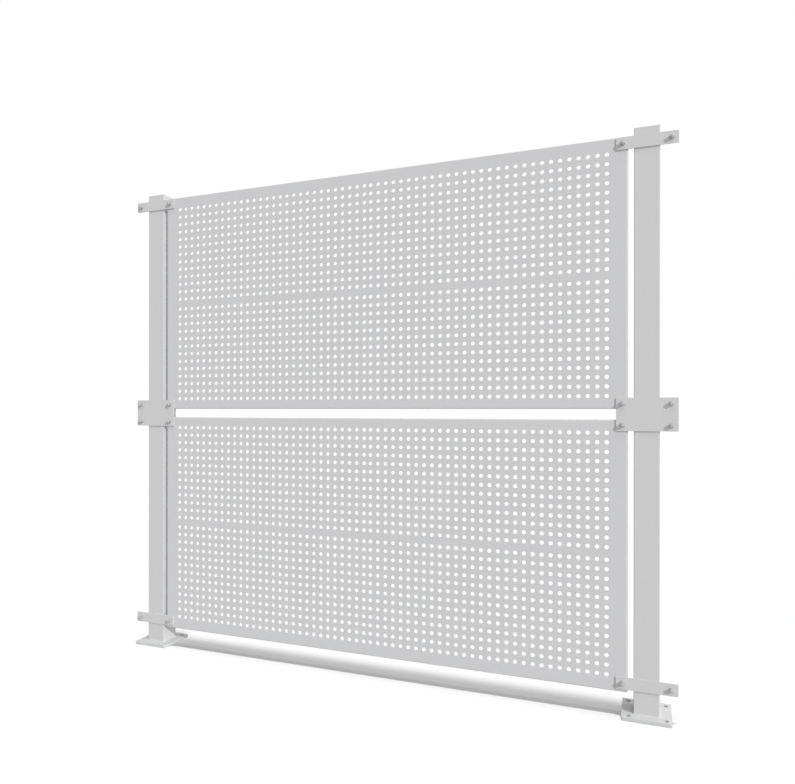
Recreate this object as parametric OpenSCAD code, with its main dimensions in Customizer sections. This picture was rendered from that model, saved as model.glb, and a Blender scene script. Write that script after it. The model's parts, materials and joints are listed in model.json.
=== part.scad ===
// One bay of a perforated panel barrier: two posts on foot plates, two folded
// sheet panels one above the other, and flat ear brackets that carry them.
// Millimetres, +Z up, +X along the fence, the front faces -Y.
// The origin is the middle of the left foot plate's underside.

/* [Posts] */
// Outside width of the square post tube
post_w = 60; // [50:1:80]
// Wall of the post tube
post_wall = 2.5; // [1.5:0.25:5]
// Outside corner radius of the post tube
post_corner_r = 2; // [1:0.5:9]
// Height of the post above the upper panel's top edge
post_rise = 18; // [6:1:80]
// Thickness of the cap on the post's end
cap_t = 4; // [3:0.5:6]
// Rounding of the cap's upper edge
cap_edge_r = 2; // [0.5:0.5:2.5]
// Depth of the cap's plug inside the tube
cap_plug_d = 14; // [8:1:25]

/* [Foot plates] */
// Side of the square foot plate
foot_w = 116; // [105:1:160]
// Thickness of the foot plate
foot_t = 8; // [5:0.5:15]
// Corner radius of the foot plate
foot_corner_r = 4; // [2:0.5:10]
// Distance of the anchor holes from the foot plate's edges
anchor_inset = 14.5; // [10:0.5:16]
// Diameter of the anchor holes
anchor_hole_d = 14; // [8:0.5:14]

/* [Panels] */
// Width of a panel
panel_w = 1392; // [900:1:2000]
// Height of a panel
panel_h = 671; // [400:1:1000]
// Gap between the two panels
panel_gap = 27; // [15:1:60]
// Clear height under the lower panel
floor_gap = 57.5; // [30:0.5:150]
// Gap between a panel's edge and the post
side_gap = 14; // [5:1:30]
// Thickness of the panel sheet
sheet_t = 2; // [1.5:0.25:3]
// Depth of the folded edges
fold_d = 25; // [18:1:40]
// Outside radius of the folds
fold_r = 3; // [2.5:0.25:5]

/* [Perforation] */
// Distance between hole columns
hole_pitch_x = 22.75; // [20:0.05:40]
// Distance between the two middle columns, where the hole fields meet
middle_pitch_x = 19.6; // [16:0.1:40]
// Distance between hole rows
hole_pitch_z = 23.7; // [20:0.1:40]
// Distance between the two middle rows, across the plain band between the hole fields
middle_pitch_z = 31.2; // [20:0.1:60]
// Diameter of the holes in the sheet
hole_d = 10.7; // [6:0.1:14]
// Least plain border at a panel's sides, to the hole centres
border_side = 47; // [42:1:80]
// Least plain border at a panel's top and bottom, to the hole centres, before the shift below
border_ends = 32; // [28:1:60]
// How far the hole field sits off the middle, towards the gap between panels
field_shift = 3.2; // [0:0.1:5]

/* [Brackets] */
// Thickness of a bracket
bracket_t = 3; // [2:0.5:8]
// Height of the top and bottom brackets
bar_h = 30; // [24:1:40]
// How far the middle bracket reaches past its bolt holes, up and down
middle_margin = 14.5; // [8:0.5:25]
// Distance of the bolt holes from a bracket's ends
ear_end = 15.5; // [8:0.5:30]
// Corner radius of the brackets
bracket_corner_r = 2; // [1:0.5:4]
// Distance of the bolt holes from a panel's side edges
bolt_side = 12; // [9:0.5:20]
// Distance of the bolt holes from the panel edges at the gap
bolt_gap_edge = 13; // [9:0.5:18]
// Diameter of the bolt holes
bolt_hole_d = 7; // [5:0.5:11]
// How far the top bracket's upper edge sits below the panel's
top_drop = 2.5; // [0:0.5:15]
// How far the bottom bracket's lower edge sits above the panel's
bottom_lift = 7.5; // [0:0.5:15]

/* [Hidden] */
bay_pitch = panel_w + 2 * side_gap + post_w;
front_y = -post_w / 2;
lower_z = floor_gap;
upper_z = lower_z + panel_h + panel_gap;
panel_top = upper_z + panel_h;
post_top = panel_top + post_rise;
tube_h = post_top - foot_t - cap_t;
least_inner_r = 0.5;
tube_inner_r = max(post_corner_r - post_wall, least_inner_r);
anchor_pitch = foot_w - 2 * anchor_inset;
bracket_l = post_w + 2 * (side_gap + bolt_side + ear_end);
bolt_reach = post_w / 2 + side_gap + bolt_side;
bolt_rise = panel_gap + 2 * bolt_gap_edge;
middle_h = bolt_rise + 2 * middle_margin;
gap_mid_z = upper_z - panel_gap / 2;
top_bolt_z = panel_top - top_drop - bar_h / 2;
bottom_bolt_z = lower_z + bottom_lift + bar_h / 2;
seam_x = middle_pitch_x - hole_pitch_x;
hole_cols = floor((panel_w - 2 * border_side - seam_x) / hole_pitch_x) + 1;
left_cols = ceil(hole_cols / 2);
seam_z = middle_pitch_z - hole_pitch_z;
hole_rows = floor((panel_h - 2 * border_ends - seam_z) / hole_pitch_z) + 1;
lower_rows = ceil(hole_rows / 2);
field_w = (hole_cols - 1) * hole_pitch_x + seam_x;
field_h = (hole_rows - 1) * hole_pitch_z + seam_z;
sheet_w = field_w + 2 * hole_d;
sheet_h = field_h + 2 * hole_d;
slice_count = 4;
plug_slack = 0.25;
sheet_lap = 1;
overcut = 1;
steel_grey = [0.79, 0.79, 0.8];
cap_grey = [0.74, 0.74, 0.75];

// A square with round corners, from plain squares and circles
module round_rect(w, h, r) {
    square([w - 2 * r, h], center = true);
    square([w, h - 2 * r], center = true);
    for (sx = [-1, 1]) {
        for (sy = [-1, 1]) {
            translate([sx * (w / 2 - r), sy * (h / 2 - r)]) circle(r = r, $fn = 48);
        }
    }
}

// Section across a folded panel: front at y = 0 with two round corners
module fold_section(w, d, r) {
    translate([-w / 2 + r, 0]) square([w - 2 * r, d]);
    translate([-w / 2, r]) square([w, d - r]);
    for (sx = [-1, 1]) {
        translate([sx * (w / 2 - r), r]) circle(r = r, $fn = 48);
    }
}

// A block with its four front edges rounded, the middle of its front at the origin
module fold_block(w, h, d, r) {
    intersection() {
        linear_extrude(height = h, center = true) fold_section(w, d, r);
        rotate([0, -90, 0]) linear_extrude(height = w, center = true) fold_section(h, d, r);
    }
}

// Place of a hole column or row from the first one: the fields meet at the middle with a step of their own
function col_x(col) = col * hole_pitch_x + (col < left_cols ? 0 : seam_x);
function row_z(row) = row * hole_pitch_z + (row < lower_rows ? 0 : seam_z);

// First hole column of a slice, and the slice's left edge from the panel's middle
function first_col(slice) = round(slice * hole_cols / slice_count);
function slice_x(slice) =
    slice == 0 ? -panel_w / 2
    : slice == slice_count ? panel_w / 2
    : (col_x(first_col(slice) - 1) + col_x(first_col(slice)) - field_w) / 2;

// The plain border of a slice with its folded edges, open where the perforated sheet goes and lapped by it
module fold_border(slice, field_z) {
    intersection() {
        difference() {
            fold_block(panel_w, panel_h, fold_d, fold_r);
            translate([0, sheet_t, 0])
                fold_block(panel_w - 2 * sheet_t, panel_h - 2 * sheet_t, fold_d, fold_r - sheet_t);
            translate([-sheet_w / 2 + sheet_lap, -overcut, field_z - sheet_h / 2 + sheet_lap])
                cube([sheet_w - 2 * sheet_lap, sheet_t + 2 * overcut, sheet_h - 2 * sheet_lap]);
            children();
        }
        translate([slice_x(slice), -overcut, -panel_h])
            cube([slice_x(slice + 1) - slice_x(slice), fold_d + 2 * overcut, 2 * panel_h]);
    }
}

// The perforated sheet of a slice, facing -Y
module perforated_sheet(slice) {
    x0 = max(slice_x(slice), -sheet_w / 2);
    x1 = min(slice_x(slice + 1), sheet_w / 2);
    translate([0, sheet_t, 0]) rotate([90, 0, 0]) linear_extrude(height = sheet_t)
        difference() {
            translate([x0, -sheet_h / 2]) square([x1 - x0, sheet_h]);
            for (col = [first_col(slice) : first_col(slice + 1) - 1]) {
                for (row = [0 : hole_rows - 1]) {
                    translate([col_x(col) - field_w / 2, row_z(row) - field_h / 2])
                        circle(d = hole_d, $fn = 24);
                }
            }
        }
}

// Round hole through the front at the origin, along Y
module front_hole(d, depth) {
    translate([0, depth + overcut, 0]) rotate([90, 0, 0])
        cylinder(d = d, h = depth + 2 * overcut, $fn = 48);
}

// One slice of a panel: middle height mid_z, hole field moved by field_z, bolt heights low_z and high_z
module panel_slice(slice, mid_z, field_z, low_z, high_z) {
    translate([bay_pitch / 2, front_y, mid_z]) {
        translate([0, 0, field_z]) perforated_sheet(slice);
        fold_border(slice, field_z) {
            for (sx = [-1, 1]) {
                for (bolt_z = [low_z, high_z]) {
                    translate([sx * (panel_w / 2 - bolt_side), 0, bolt_z - mid_z])
                        front_hole(bolt_hole_d, sheet_t);
                }
            }
        }
    }
}

module lower_panel(slice)
    color(steel_grey)
        panel_slice(slice, lower_z + panel_h / 2, field_shift, bottom_bolt_z, gap_mid_z - bolt_rise / 2);

module upper_panel(slice)
    color(steel_grey)
        panel_slice(slice, upper_z + panel_h / 2, -field_shift, gap_mid_z + bolt_rise / 2, top_bolt_z);

module post(x) {
    translate([x, 0, foot_t]) linear_extrude(height = tube_h)
        difference() {
            round_rect(post_w, post_w, post_corner_r);
            round_rect(post_w - 2 * post_wall, post_w - 2 * post_wall, tube_inner_r);
        }
}

// Cap on the post's end with a plug inside the tube
module post_cap(x) {
    plug_w = post_w - 2 * post_wall - 2 * plug_slack;
    translate([x, 0, post_top - cap_t]) {
        linear_extrude(height = cap_t - cap_edge_r) round_rect(post_w, post_w, post_corner_r);
        intersection() {
            linear_extrude(height = cap_t) round_rect(post_w, post_w, post_corner_r);
            translate([0, 0, cap_t]) rotate([-90, 0, 0])
                linear_extrude(height = post_w, center = true) fold_section(post_w, cap_t, cap_edge_r);
            translate([0, 0, cap_t]) rotate([-90, 0, 90])
                linear_extrude(height = post_w, center = true) fold_section(post_w, cap_t, cap_edge_r);
        }
        translate([0, 0, -cap_plug_d]) linear_extrude(height = cap_plug_d + cap_t / 2)
            round_rect(plug_w, plug_w, tube_inner_r);
    }
}

module foot_plate(x) {
    translate([x, 0, 0]) linear_extrude(height = foot_t)
        difference() {
            round_rect(foot_w, foot_w, foot_corner_r);
            for (sx = [-1, 1]) {
                for (sy = [-1, 1]) {
                    translate([sx * anchor_pitch / 2, sy * anchor_pitch / 2])
                        circle(d = anchor_hole_d, $fn = 48);
                }
            }
        }
}

// Flat bracket on the post's front with a row of bolt holes in both ears
module bracket(x, mid_z, h, bolt_heights) {
    translate([x, front_y, mid_z]) rotate([90, 0, 0]) linear_extrude(height = bracket_t)
        difference() {
            round_rect(bracket_l, h, bracket_corner_r);
            for (sx = [-1, 1]) {
                for (bolt_z = bolt_heights) {
                    translate([sx * bolt_reach, bolt_z]) circle(d = bolt_hole_d, $fn = 48);
                }
            }
        }
}

module left_foot_plate() color(steel_grey) foot_plate(0);
module right_foot_plate() color(steel_grey) foot_plate(bay_pitch);
module left_post() color(steel_grey) post(0);
module right_post() color(steel_grey) post(bay_pitch);
module left_post_cap() color(cap_grey) post_cap(0);
module right_post_cap() color(cap_grey) post_cap(bay_pitch);

module lower_panel_1() lower_panel(0);
module lower_panel_2() lower_panel(1);
module lower_panel_3() lower_panel(2);
module lower_panel_4() lower_panel(3);
module upper_panel_1() upper_panel(0);
module upper_panel_2() upper_panel(1);
module upper_panel_3() upper_panel(2);
module upper_panel_4() upper_panel(3);

module left_bottom_bracket() color(steel_grey) bracket(0, bottom_bolt_z, bar_h, [0]);
module right_bottom_bracket() color(steel_grey) bracket(bay_pitch, bottom_bolt_z, bar_h, [0]);

module left_middle_bracket()
    color(steel_grey) bracket(0, gap_mid_z, middle_h, [-bolt_rise / 2, bolt_rise / 2]);

module right_middle_bracket()
    color(steel_grey) bracket(bay_pitch, gap_mid_z, middle_h, [-bolt_rise / 2, bolt_rise / 2]);

module left_top_bracket() color(steel_grey) bracket(0, top_bolt_z, bar_h, [0]);
module right_top_bracket() color(steel_grey) bracket(bay_pitch, top_bolt_z, bar_h, [0]);

left_foot_plate();
right_foot_plate();
left_post();
right_post();
left_post_cap();
right_post_cap();
lower_panel_1();
lower_panel_2();
lower_panel_3();
lower_panel_4();
upper_panel_1();
upper_panel_2();
upper_panel_3();
upper_panel_4();
left_bottom_bracket();
right_bottom_bracket();
left_middle_bracket();
right_middle_bracket();
left_top_bracket();
right_top_bracket();
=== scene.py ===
import json
import math
import bmesh
import bpy
from mathutils import Matrix, Vector


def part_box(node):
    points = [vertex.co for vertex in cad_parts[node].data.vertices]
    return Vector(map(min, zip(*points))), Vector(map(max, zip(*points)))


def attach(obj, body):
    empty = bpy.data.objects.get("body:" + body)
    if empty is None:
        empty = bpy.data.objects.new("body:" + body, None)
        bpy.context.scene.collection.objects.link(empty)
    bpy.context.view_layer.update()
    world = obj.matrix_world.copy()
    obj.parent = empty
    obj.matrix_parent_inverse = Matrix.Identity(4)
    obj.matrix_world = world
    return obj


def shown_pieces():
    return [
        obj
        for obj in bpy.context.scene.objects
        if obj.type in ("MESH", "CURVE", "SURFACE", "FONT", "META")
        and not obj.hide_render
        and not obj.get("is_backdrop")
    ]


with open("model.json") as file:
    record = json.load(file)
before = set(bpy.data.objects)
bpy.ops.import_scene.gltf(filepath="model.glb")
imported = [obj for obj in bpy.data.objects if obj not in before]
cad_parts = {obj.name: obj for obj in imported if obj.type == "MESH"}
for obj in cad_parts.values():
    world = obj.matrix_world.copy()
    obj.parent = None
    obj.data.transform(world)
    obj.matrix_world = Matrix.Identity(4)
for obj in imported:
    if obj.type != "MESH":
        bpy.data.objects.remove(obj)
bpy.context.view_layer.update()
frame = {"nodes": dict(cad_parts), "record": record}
print("frame loaded:", len(frame["nodes"]), "nodes")

mm = 0.001  # sizes of pieces are written in millimetres
nearly = 1e-6  # points closer than this, in metres, count as one
levels = ("bottom", "middle", "top")  # brackets up a post


# one wrapped socket: sums on it add Math nodes, node() adds any other
class Wire:
    def __init__(self, tree, socket=None):
        self.tree = tree
        self.socket = socket

    def node(self, kind, settings=None, sockets=None, out=0):
        made = self.tree.nodes.new(kind)
        for key, value in (settings or {}).items():
            setattr(made, key, value)
        for key, value in (sockets or {}).items():
            if isinstance(value, Wire):
                self.tree.links.new(value.socket, made.inputs[key])
            else:
                made.inputs[key].default_value = value
        return Wire(self.tree, made.outputs[out] if len(made.outputs) else None)

    def maths(self, operation, a, b):
        return self.node("ShaderNodeMath", {"operation": operation}, {0: a, 1: b})

    def __add__(self, other):
        return self.maths("ADD", self, other)

    def __radd__(self, other):
        return self.maths("ADD", other, self)

    def __sub__(self, other):
        return self.maths("SUBTRACT", self, other)

    def __rsub__(self, other):
        return self.maths("SUBTRACT", other, self)

    def __mul__(self, other):
        return self.maths("MULTIPLY", self, other)

    def __rmul__(self, other):
        return self.maths("MULTIPLY", other, self)


def newMaterial(name):
    mat = bpy.data.materials.new(name)
    mat.use_nodes = True
    mat.node_tree.nodes.clear()
    return mat, Wire(mat.node_tree)


def objectPlace(wire):
    return wire.node("ShaderNodeTexCoord", out="Object")


def noise(wire, place, scale, detail, rough):
    return wire.node("ShaderNodeTexNoise", {"noise_dimensions": "3D"},
                     {"Vector": place, "Scale": scale, "Detail": detail, "Roughness": rough})


def tint(wire, factor, dark, light):
    return wire.node("ShaderNodeMix", {"data_type": "RGBA"},
                     {"Factor": factor, "A": (*dark, 1), "B": (*light, 1)}, out="Result")


def relief(wire, height, strength, depth):
    return wire.node("ShaderNodeBump",
                     sockets={"Strength": strength, "Distance": depth * mm, "Height": height})


def surface(wire, sockets):
    shader = wire.node("ShaderNodeBsdfPrincipled", sockets=sockets)
    wire.node("ShaderNodeOutputMaterial", sockets={"Surface": shader})


noiseMean = 0.5

# powder coat: faint cloudiness in colour and gloss, and a fine pebbled skin
coatLook = {
    "post": dict(dark=(0.572, 0.572, 0.576), light=(0.592, 0.592, 0.596), rough=0.46),
    "foot": dict(dark=(0.56, 0.562, 0.566), light=(0.592, 0.593, 0.597), rough=0.5),
    "panel": dict(dark=(0.576, 0.577, 0.586), light=(0.594, 0.595, 0.604), rough=0.48),
    "bracket": dict(dark=(0.572, 0.572, 0.577), light=(0.592, 0.592, 0.597), rough=0.46),
    "cap": dict(dark=(0.53, 0.53, 0.535), light=(0.555, 0.555, 0.56), rough=0.6),
}
coatGrain = dict(
    cloud=dict(scale=5.0, detail=4.0, rough=0.6),
    speck=dict(scale=160.0, detail=2.0, rough=0.5),
    pebble=dict(scale=600.0, detail=2.0, rough=0.45),
    cloudTint=0.8, speckTint=0.2,  # shares in the colour
    cloudGloss=0.12, speckGloss=0.06,  # swing in the roughness
    pebbleStrength=0.7, pebbleDepth=0.2,
    shine=0.4,
)


def coatMaterial(name, look):
    g = coatGrain
    mat, wire = newMaterial(name)
    place = objectPlace(wire)
    cloud = noise(wire, place, **g["cloud"])
    speck = noise(wire, place, **g["speck"])
    pebble = noise(wire, place, **g["pebble"])
    mottle = cloud * g["cloudTint"] + speck * g["speckTint"]
    gloss = (cloud - noiseMean) * g["cloudGloss"] + (speck - noiseMean) * g["speckGloss"]
    surface(wire, {
        "Base Color": tint(wire, mottle, look["dark"], look["light"]),
        "Roughness": look["rough"] + gloss,
        "Normal": relief(wire, pebble, g["pebbleStrength"], g["pebbleDepth"]),
        "Specular IOR Level": g["shine"],
    })
    return mat


coats = {key: coatMaterial(key + "Coat", look) for key, look in coatLook.items()}

# the first of these words found in a node's name gives its coat
nodeCoat = {"post_cap": "cap", "post": "post", "foot": "foot", "panel": "panel", "bracket": "bracket"}
for nodeName, obj in frame["nodes"].items():
    word = next(key for key in nodeCoat if key in nodeName)
    obj.data.materials.clear()
    obj.data.materials.append(coats[nodeCoat[word]])
print("coats on the nodes:", ", ".join(coats))


# zinc fasteners, dulled and a little uneven
zincLook = dict(
    dark=(0.38, 0.382, 0.39), light=(0.51, 0.51, 0.515), rough=0.5, metal=0.35,
    bloom=dict(scale=260.0, detail=3.0, rough=0.6), bloomGloss=0.2,
    fine=dict(scale=1800.0, detail=2.0, rough=0.5), fineStrength=0.3, fineDepth=0.04,
)


def zincMaterial():
    z = zincLook
    mat, wire = newMaterial("zincPlate")
    place = objectPlace(wire)
    bloom = noise(wire, place, **z["bloom"])
    fine = noise(wire, place, **z["fine"])
    surface(wire, {
        "Base Color": tint(wire, bloom, z["dark"], z["light"]),
        "Roughness": z["rough"] + (bloom - noiseMean) * z["bloomGloss"],
        "Metallic": z["metal"],
        "Normal": relief(wire, fine, z["fineStrength"], z["fineDepth"]),
    })
    return mat


zinc = zincMaterial()
creaseAngle = 35.0  # degrees: edges sharper than this stay crisp


def keepMesh(bm, name, mat):
    bmesh.ops.remove_doubles(bm, verts=bm.verts, dist=nearly)
    bmesh.ops.recalc_face_normals(bm, faces=bm.faces)
    mesh = bpy.data.meshes.new(name)
    bm.to_mesh(mesh)
    bm.free()
    mesh.materials.append(mat)
    mesh.shade_smooth()
    mesh.set_sharp_from_angle(angle=math.radians(creaseAngle))
    obj = bpy.data.objects.new(name, mesh)
    bpy.context.scene.collection.objects.link(obj)
    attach(obj, "root")


# fasteners of the brackets along Y, with the bracket's face at y = 0: washer, tall nut and thread end
# in front, a shank through the plates, washer and head behind
boltSet = dict(
    flats=10.0, hexSides=6, chamfer=0.55,
    nutHeight=7.6, nutTurn=4.0, headHeight=4.0, headTurn=12.0,
    washerR=6.2, washerT=1.6, rim=0.3,
    shankR=3.0, bite=1.0,  # bite: how far the shank is let into nut and head
    coreR=2.5, pitch=1.0, threadIn=0.4, proud=2.2, threadSides=24,
    sides=32, rounds=2,
    sheet=2.0,  # of the panel, gripped with the bracket
)


def pillar(bm, radius, y0, y1, sides, turn=0.0):
    middle = Matrix.Translation((0, (y0 + y1) / 2 * mm, 0))
    lying = Matrix.Rotation(math.radians(90), 4, "X") @ Matrix.Rotation(math.radians(turn), 4, "Z")
    made = bmesh.ops.create_cone(bm, cap_ends=True, cap_tris=False, segments=sides, radius1=radius * mm,
                                 radius2=radius * mm, depth=abs(y1 - y0) * mm, matrix=middle @ lying)
    return made["verts"]


# rounds the rims of a pillar that lie at the given ends
def softenEnds(bm, verts, ends, width):
    rims = dict.fromkeys(e for v in verts for e in v.link_edges for y in ends
                         if all(abs(p.co.y - y * mm) < nearly for p in e.verts))
    bmesh.ops.bevel(bm, geom=list(rims), offset=width * mm, affect="EDGES", segments=boltSet["rounds"],
                    profile=0.5, material=-1)


# whole turns of thread from start to no further than end: a zigzag edge spun about the axis
def threadEnd(bm, start, end):
    s = boltSet
    y = start
    points = [(0, y), (s["coreR"], y)]
    while y - s["pitch"] > end:
        points += [(s["shankR"], y - s["pitch"] / 2), (s["coreR"], y - s["pitch"])]
        y -= s["pitch"]
    points.append((0, y))
    verts = [bm.verts.new((r * mm, along * mm, 0)) for r, along in points]
    edges = [bm.edges.new(pair) for pair in zip(verts, verts[1:])]
    bmesh.ops.spin(bm, geom=verts + edges, cent=(0, 0, 0), axis=(0, 1, 0), angle=2 * math.pi,
                   steps=s["threadSides"], use_merge=True, use_duplicate=False)


def boltShape(grip):
    s = boltSet
    hexR = s["flats"] / 2 / math.cos(math.pi / s["hexSides"])
    nutSeat = -s["washerT"]
    nutEnd = nutSeat - s["nutHeight"]
    headSeat = grip + s["washerT"]
    headEnd = headSeat + s["headHeight"]
    bm = bmesh.new()
    for seat, outer in ((0, nutSeat), (grip, headSeat)):
        washer = pillar(bm, s["washerR"], seat, outer, s["sides"])
        softenEnds(bm, washer, (outer,), s["rim"])
    nut = pillar(bm, hexR, nutEnd, nutSeat, s["hexSides"], s["nutTurn"])
    softenEnds(bm, nut, (nutSeat, nutEnd), s["chamfer"])
    head = pillar(bm, hexR, headSeat, headEnd, s["hexSides"], s["headTurn"])
    softenEnds(bm, head, (headEnd,), s["chamfer"])
    pillar(bm, s["shankR"], nutSeat - s["bite"], headSeat + s["bite"], s["sides"])
    threadEnd(bm, nutEnd + s["threadIn"], nutEnd - s["proud"])
    return bm


def boltsAt(name, places, grip):
    bm = bmesh.new()
    single = bpy.data.meshes.new("boltBlank")
    shape = boltShape(grip)
    shape.to_mesh(single)
    shape.free()
    for place in places:
        before = set(bm.verts)
        bm.from_mesh(single)
        bmesh.ops.translate(bm, verts=[v for v in bm.verts if v not in before], vec=place)
    bpy.data.meshes.remove(single)
    keepMesh(bm, name, zinc)


# the record's ear holes give the bolts' reach from the post and the step between the middle ones
earHoles = next(m for m in frame["record"]["mounts"] if m["name"] == "left_middle_ear_holes")
earReach = abs(earHoles["pos_m"][0])
earStep = earHoles["dims"]["spacing_y_mm"] * mm
boltCount = 0
for side, inner in (("left", 1), ("right", -1)):
    for level in levels:
        low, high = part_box(f"{side}_{level}_bracket")
        mid = (low + high) / 2
        heights = (-earStep / 2, earStep / 2) if level == "middle" else (0.0,)
        plate = (high.y - low.y) / mm
        for use, way, grip in (("panel", inner, plate + boltSet["sheet"]), ("free", -inner, plate)):
            places = [Vector((mid.x + way * earReach, low.y, mid.z + h)) for h in heights]
            boltsAt(f"{side}_{level}_bolts_{use}", places, grip)
            boltCount += len(places)
print("bolts:", boltCount)


# weld beads: a round bead along a path, swelling a little at each ripple
weldLook = dict(
    footR=1.8, sideR=1.7, edgeR=1.4, sink=0.5,
    step=0.9, ripple=2.4, swell=0.1, rounds=2,
    sideMargin=3, edgeMargin=4,  # steps left bare at each end of a seam
    tubeCorner=2.0,
)


def weldBead(name, paths, radius, closed=False):
    curve = bpy.data.curves.new(name + "Path", "CURVE")
    curve.dimensions = "3D"
    curve.bevel_depth = radius * mm
    curve.bevel_resolution = weldLook["rounds"]
    curve.use_fill_caps = True
    for path in paths:
        spline = curve.splines.new("POLY")
        spline.points.add(len(path) - 1)
        spline.use_cyclic_u = closed
        along = 0.0
        for i, (point, place) in enumerate(zip(spline.points, path)):
            along += (place - path[i - 1]).length / mm if i else 0.0
            point.co = (*place, 1)
            point.radius = 1 + weldLook["swell"] * math.sin(2 * math.pi * along / weldLook["ripple"])
    holder = bpy.data.objects.new(name + "Holder", curve)
    bpy.context.scene.collection.objects.link(holder)
    mesh = bpy.data.meshes.new_from_object(holder.evaluated_get(bpy.context.evaluated_depsgraph_get()))
    bm = bmesh.new()
    bm.from_mesh(mesh)
    bpy.data.objects.remove(holder)
    bpy.data.curves.remove(curve)
    bpy.data.meshes.remove(mesh)
    keepMesh(bm, name, coats["post"])


# once round a square with round corners, in steps
def roundSquarePath(centre, half, z):
    step, corner = weldLook["step"], weldLook["tubeCorner"]
    flat = half - corner  # half of a side's straight stretch
    arcSteps = int(corner * math.pi / 2 / step)
    path = []
    for quarter in range(4):
        turn = Matrix.Rotation(math.radians(90 * quarter), 3, "Z")
        for i in range(int(2 * flat / step)):
            path.append(turn @ Vector((half, i * step - flat, 0)))
        for i in range(arcSteps):
            a = math.radians(90) * i / arcSteps
            path.append(turn @ Vector((flat + corner * math.cos(a), flat + corner * math.sin(a), 0)))
    return [Vector((centre.x + p.x * mm, centre.y + p.y * mm, z)) for p in path]


# distances along a straight seam, with its ends left bare
def seamSteps(length, margin):
    step = weldLook["step"] * mm
    return [i * step for i in range(margin, int(length / step) - margin + 1)]


sink = weldLook["sink"] * mm
for side in ("left", "right"):
    low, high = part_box(f"{side}_post")
    half = (high.x - low.x) / 2 / mm
    ring = roundSquarePath((low + high) / 2, half, low.z)
    weldBead(f"{side}_foot_weld", [ring], weldLook["footR"], closed=True)
    # up the post's sides behind each bracket, and across its front under the bracket
    sideSeams, edgeSeams = [], []
    for level in levels:
        plateLow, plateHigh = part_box(f"{side}_{level}_bracket")
        rise = seamSteps(plateHigh.z - plateLow.z, weldLook["sideMargin"])
        for x in (low.x - sink, high.x + sink):
            sideSeams.append([Vector((x, plateHigh.y + sink, plateLow.z + d)) for d in rise])
        run = seamSteps(high.x - low.x, weldLook["edgeMargin"])
        edgeSeams.append([Vector((low.x + d, plateHigh.y - sink, plateLow.z - sink)) for d in run])
    weldBead(f"{side}_bracket_side_welds", sideSeams, weldLook["sideR"])
    weldBead(f"{side}_bracket_edge_welds", edgeSeams, weldLook["edgeR"])
print("weld beads: feet and brackets")


# stage in metres: white floor that keeps the shadow, and a world that is white where it is seen
stageLook = dict(
    floorSize=60.0, floorMiddle=0.77, floorDrop=0.0004,
    floorSeen=1.0, floorBounce=0.6,
    skySeen=1.0, ambient=0.455,
)


def grey(level):
    return (level, level, level)


# 1 where the backdrop is seen straight on, mirrored or through something, 0 where it only lights
def backdropRay(wire):
    straight = wire.node("ShaderNodeLightPath", out="Is Camera Ray")
    mirrored = wire.node("ShaderNodeLightPath", out="Is Glossy Ray")
    through = wire.node("ShaderNodeLightPath", out="Is Transmission Ray")
    return wire.maths("MINIMUM", straight + mirrored + through, 1.0)


def floorMaterial():
    mat, wire = newMaterial("paleFloor")
    dull = wire.node("ShaderNodeBsdfDiffuse", sockets={"Color": (*grey(stageLook["floorBounce"]), 1)})
    white = wire.node("ShaderNodeBsdfDiffuse", sockets={"Color": (*grey(stageLook["floorSeen"]), 1)})
    mixed = wire.node("ShaderNodeMixShader", sockets={0: backdropRay(wire), 1: dull, 2: white})
    wire.node("ShaderNodeOutputMaterial", sockets={"Surface": mixed})
    return mat


floorPlace = Matrix.Translation((stageLook["floorMiddle"], 0, -stageLook["floorDrop"]))
floorBm = bmesh.new()
bmesh.ops.create_grid(floorBm, x_segments=1, y_segments=1, size=stageLook["floorSize"] / 2,
                      matrix=floorPlace)
floorMesh = bpy.data.meshes.new("studioFloor")
floorBm.to_mesh(floorMesh)
floorBm.free()
floorMesh.materials.append(floorMaterial())
floor = bpy.data.objects.new("studioFloor", floorMesh)
bpy.context.scene.collection.objects.link(floor)
floor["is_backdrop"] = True

world = bpy.data.worlds.new("studioWorld")
world.use_nodes = True
world.node_tree.nodes.clear()
bpy.context.scene.world = world
sky = Wire(world.node_tree)
skyColour = tint(sky, backdropRay(sky), grey(stageLook["ambient"]), grey(stageLook["skySeen"]))
skyLight = sky.node("ShaderNodeBackground", sockets={"Color": skyColour})
sky.node("ShaderNodeOutputWorld", sockets={"Surface": skyLight})

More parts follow.
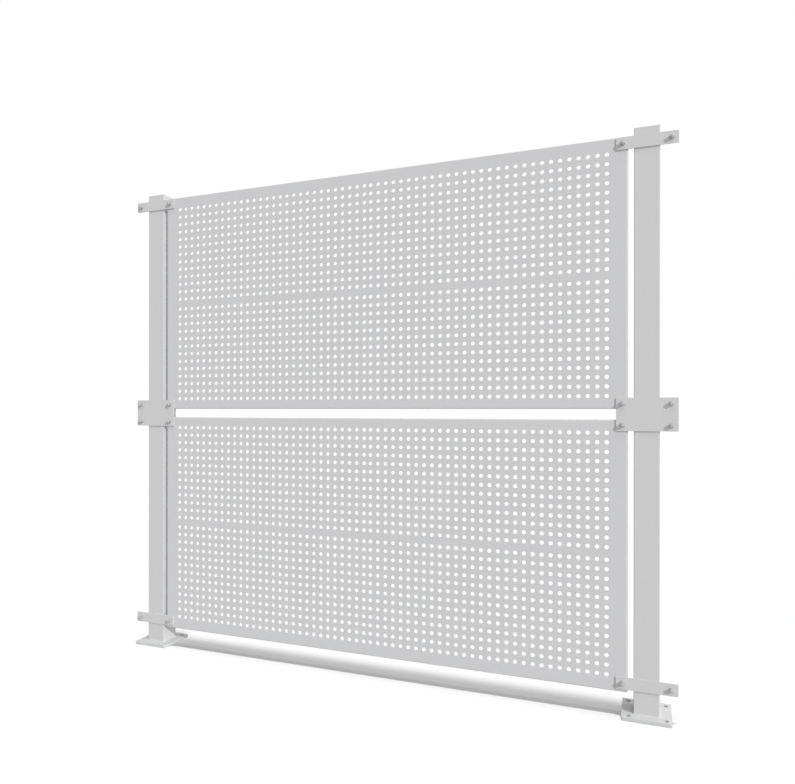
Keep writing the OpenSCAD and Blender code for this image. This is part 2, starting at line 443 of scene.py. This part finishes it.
# key lamp from the front right, soft ones above and behind for the part, and two from above that only
# the floor receives; the one behind fills the back and leaves no highlight
lampLook = {
    "keyLamp": dict(aim=(-1.5, 1.0, -0.85), strength=2.08, spread=2.5, lights="part", glint=True),
    "topLamp": dict(aim=(-0.35, 0.2, -1.0), strength=1.55, spread=60.0, lights="part", glint=True),
    "backLamp": dict(aim=(-0.6, -1.0, -0.05), strength=0.8, spread=5.0, lights="part", glint=False),
    "floorLamp": dict(aim=(0.0, 0.04, -1.0), strength=1.52, spread=2.8, lights="floor", glint=True),
    "floorSoft": dict(aim=(0.0, -0.022, -1.0), strength=0.26, spread=3.4, lights="floor", glint=True),
}
receivers = {}
for key, lit in (("floor", [floor]), ("part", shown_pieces())):
    receivers[key] = bpy.data.collections.new(key + "Only")
    for obj in lit:
        receivers[key].objects.link(obj)
for name, look in lampLook.items():
    lamp = bpy.data.lights.new(name, "SUN")
    lamp.energy = look["strength"]
    lamp.angle = math.radians(look["spread"])
    lampObj = bpy.data.objects.new(name, lamp)
    lampObj.rotation_mode = "QUATERNION"
    lampObj.rotation_quaternion = Vector(look["aim"]).to_track_quat("-Z", "Y")
    bpy.context.scene.collection.objects.link(lampObj)
    lampObj.light_linking.receiver_collection = receivers[look["lights"]]
    lampObj.visible_glossy = look["glint"]

# level camera with the frame shifted up a little: place in metres, turn and roll in degrees,
# focal, shift and frameWidth in pixels
cameraLook = dict(
    place=(1.4757, -1.7453, 0.7513), turn=20.585, roll=0.0614,
    focal=658.9, shift=18.37, frameWidth=795, sensor=36.0, reach=200.0,
)
cam = bpy.data.cameras.new("photoCamera")
cam.sensor_width = cameraLook["sensor"]
cam.lens = cameraLook["sensor"] * cameraLook["focal"] / cameraLook["frameWidth"]
cam.shift_y = cameraLook["shift"] / cameraLook["frameWidth"]
cam.clip_end = cameraLook["reach"]
camObj = bpy.data.objects.new("photoCamera", cam)
camObj.location = cameraLook["place"]
camObj.rotation_euler = [math.radians(a) for a in (90, -cameraLook["roll"], cameraLook["turn"])]
bpy.context.scene.collection.objects.link(camObj)
bpy.context.scene.camera = camObj
bpy.context.scene.view_settings.view_transform = "Standard"
print("stage, lamps and camera set")
